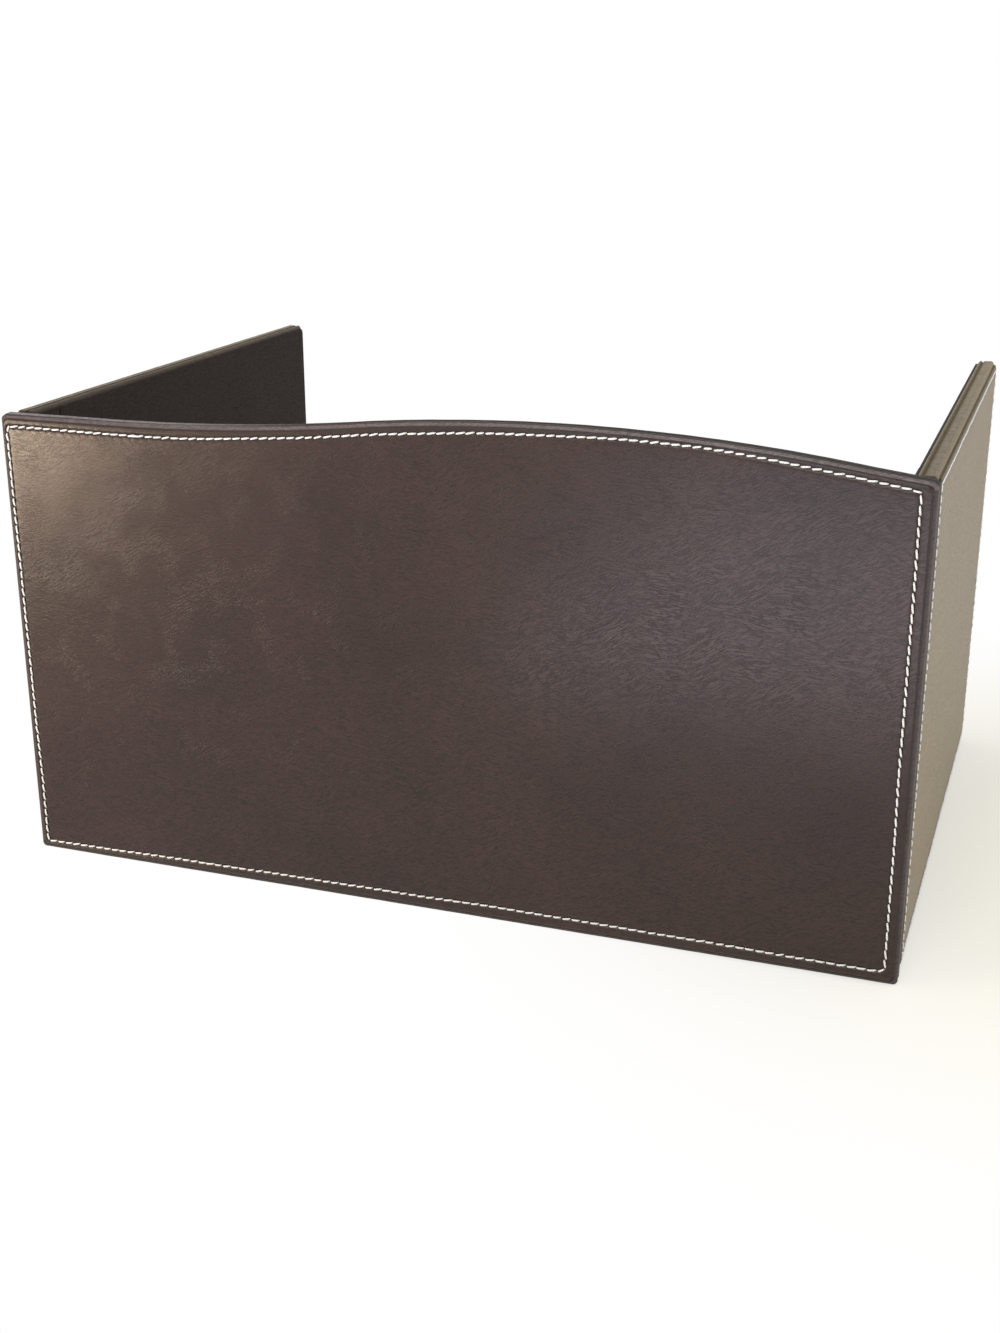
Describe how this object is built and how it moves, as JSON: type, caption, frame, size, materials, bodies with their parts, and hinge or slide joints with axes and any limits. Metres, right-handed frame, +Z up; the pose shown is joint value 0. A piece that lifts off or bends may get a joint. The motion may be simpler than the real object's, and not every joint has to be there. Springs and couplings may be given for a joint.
{
  "type": "desk screen",
  "caption": "Free-standing U-shaped desk screen of leather-covered boards with a stitched border, an arched front panel and side wings hinged to fold inwards.",
  "frame": {"origin": "on the table, under the middle of the open screen's bounding box", "axes": "+X along the front panel to the right of someone facing it, +Y back along the wings, +Z up"},
  "size_m": [0.4, 0.285, 0.2186],
  "materials": {
    "outer_leather": "satin",
    "lining_leather": "satin",
    "core_board": "matte",
    "backing_card": "matte",
    "seam_thread": "matte"
  },
  "bodies": {
    "front_panel": {"front_core_board": "core_board", "front_edge_band": "outer_leather", "front_facing_card": "backing_card", "front_facing": "outer_leather", "front_seam_thread": "seam_thread", "front_lining": "lining_leather", "left_hinge_front_leaf": "lining_leather", "right_hinge_front_leaf": "lining_leather"},
    "left_wing": {"left_wing_core_board": "core_board", "left_wing_edge_band": "outer_leather", "left_wing_facing_card": "backing_card", "left_wing_facing": "outer_leather", "left_wing_seam_thread": "seam_thread", "left_wing_lining": "lining_leather", "left_hinge_wing_leaf": "lining_leather"},
    "right_wing": {"right_wing_core_board": "core_board", "right_wing_edge_band": "outer_leather", "right_wing_facing_card": "backing_card", "right_wing_facing": "outer_leather", "right_wing_seam_thread": "seam_thread", "right_wing_lining": "lining_leather", "right_hinge_wing_leaf": "lining_leather"}
  },
  "joints": [
    {"name": "left_wing_fold", "type": "hinge", "parent": "front_panel", "child": "left_wing", "pos_m": [-0.1881, -0.131, 0], "axis": [0, 0, -1], "range_deg": [0, 83]},
    {"name": "right_wing_fold", "type": "hinge", "parent": "front_panel", "child": "right_wing", "pos_m": [0.1881, -0.131, 0], "axis": [0, 0, 1], "range_deg": [0, 90]}
  ]
}
